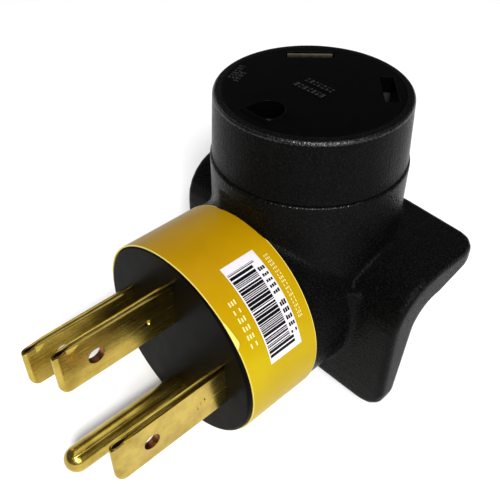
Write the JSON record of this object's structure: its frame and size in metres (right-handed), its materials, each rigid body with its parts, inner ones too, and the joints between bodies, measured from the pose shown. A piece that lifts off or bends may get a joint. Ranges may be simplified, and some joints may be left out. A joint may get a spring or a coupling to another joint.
{
  "type": "right-angle power adapter",
  "caption": "Right-angle power adapter: a four-prong plug with a labelled barrel, a moulded elbow with a bent finger grip, and a round three-hole receptacle facing up.",
  "frame": {"origin": "centre of the plug's face, on the plug's axis", "axes": "-Y out of the plug along the prongs, +Z along the receptacle's axis out of its face, +X to the right seen from the plug's side"},
  "size_m": [0.0766, 0.1024, 0.0772],
  "materials": {
    "housing_black": "fine spark-eroded texture",
    "collar_black": "fine spark-eroded texture",
    "face_black": "smooth satin",
    "plug_black": "smooth satin",
    "label_yellow": "glossy printed vinyl",
    "prong_brass": "drawn, bright",
    "contact_brass": "stamped, satin",
    "leaf_brass": "stamped spring strip, satin",
    "insulator_grey": "plain moulded",
    "screw_steel": "zinc plated",
    "wire_copper": "drawn copper",
    "jacket_black": "soft satin",
    "jacket_white": "soft satin",
    "jacket_green": "soft satin"
  },
  "bodies": {
    "adapter": {"elbow_housing": "housing_black", "receptacle_collar": "collar_black", "receptacle_face": "face_black", "plug_face": "plug_black", "label_sleeve": "label_yellow", "hot_x_blade": "prong_brass", "hot_y_blade": "prong_brass", "neutral_blade": "prong_brass", "ground_pin": "prong_brass", "blade_holder": "insulator_grey", "blade_retainer": "insulator_grey", "retainer_screws": "screw_steel", "contact_carrier": "insulator_grey", "carrier_base": "insulator_grey", "carrier_screws": "screw_steel", "hot_contact": "contact_brass", "neutral_contact": "contact_brass", "ground_contact": "contact_brass", "hot_wire_core": "wire_copper", "neutral_wire_core": "wire_copper", "ground_wire_core": "wire_copper", "hot_wire_jacket": "jacket_black", "neutral_wire_jacket": "jacket_white", "ground_wire_jacket": "jacket_green"},
    "hot_leaf": {"hot_contact_leaf": "leaf_brass"},
    "neutral_leaf": {"neutral_contact_leaf": "leaf_brass"}
  },
  "joints": [
    {"name": "hot_leaf_flex", "type": "hinge", "parent": "adapter", "child": "hot_leaf", "pos_m": [0.01054, 0.05504, 0.0247], "axis": [0.7071, -0.7071, 0], "range_deg": [0, 3], "stiffness_Nm_per_rad": 2},
    {"name": "neutral_leaf_flex", "type": "hinge", "parent": "adapter", "child": "neutral_leaf", "pos_m": [-0.01054, 0.05504, 0.0247], "axis": [0.7071, 0.7071, 0], "range_deg": [0, 3], "stiffness_Nm_per_rad": 2}
  ]
}
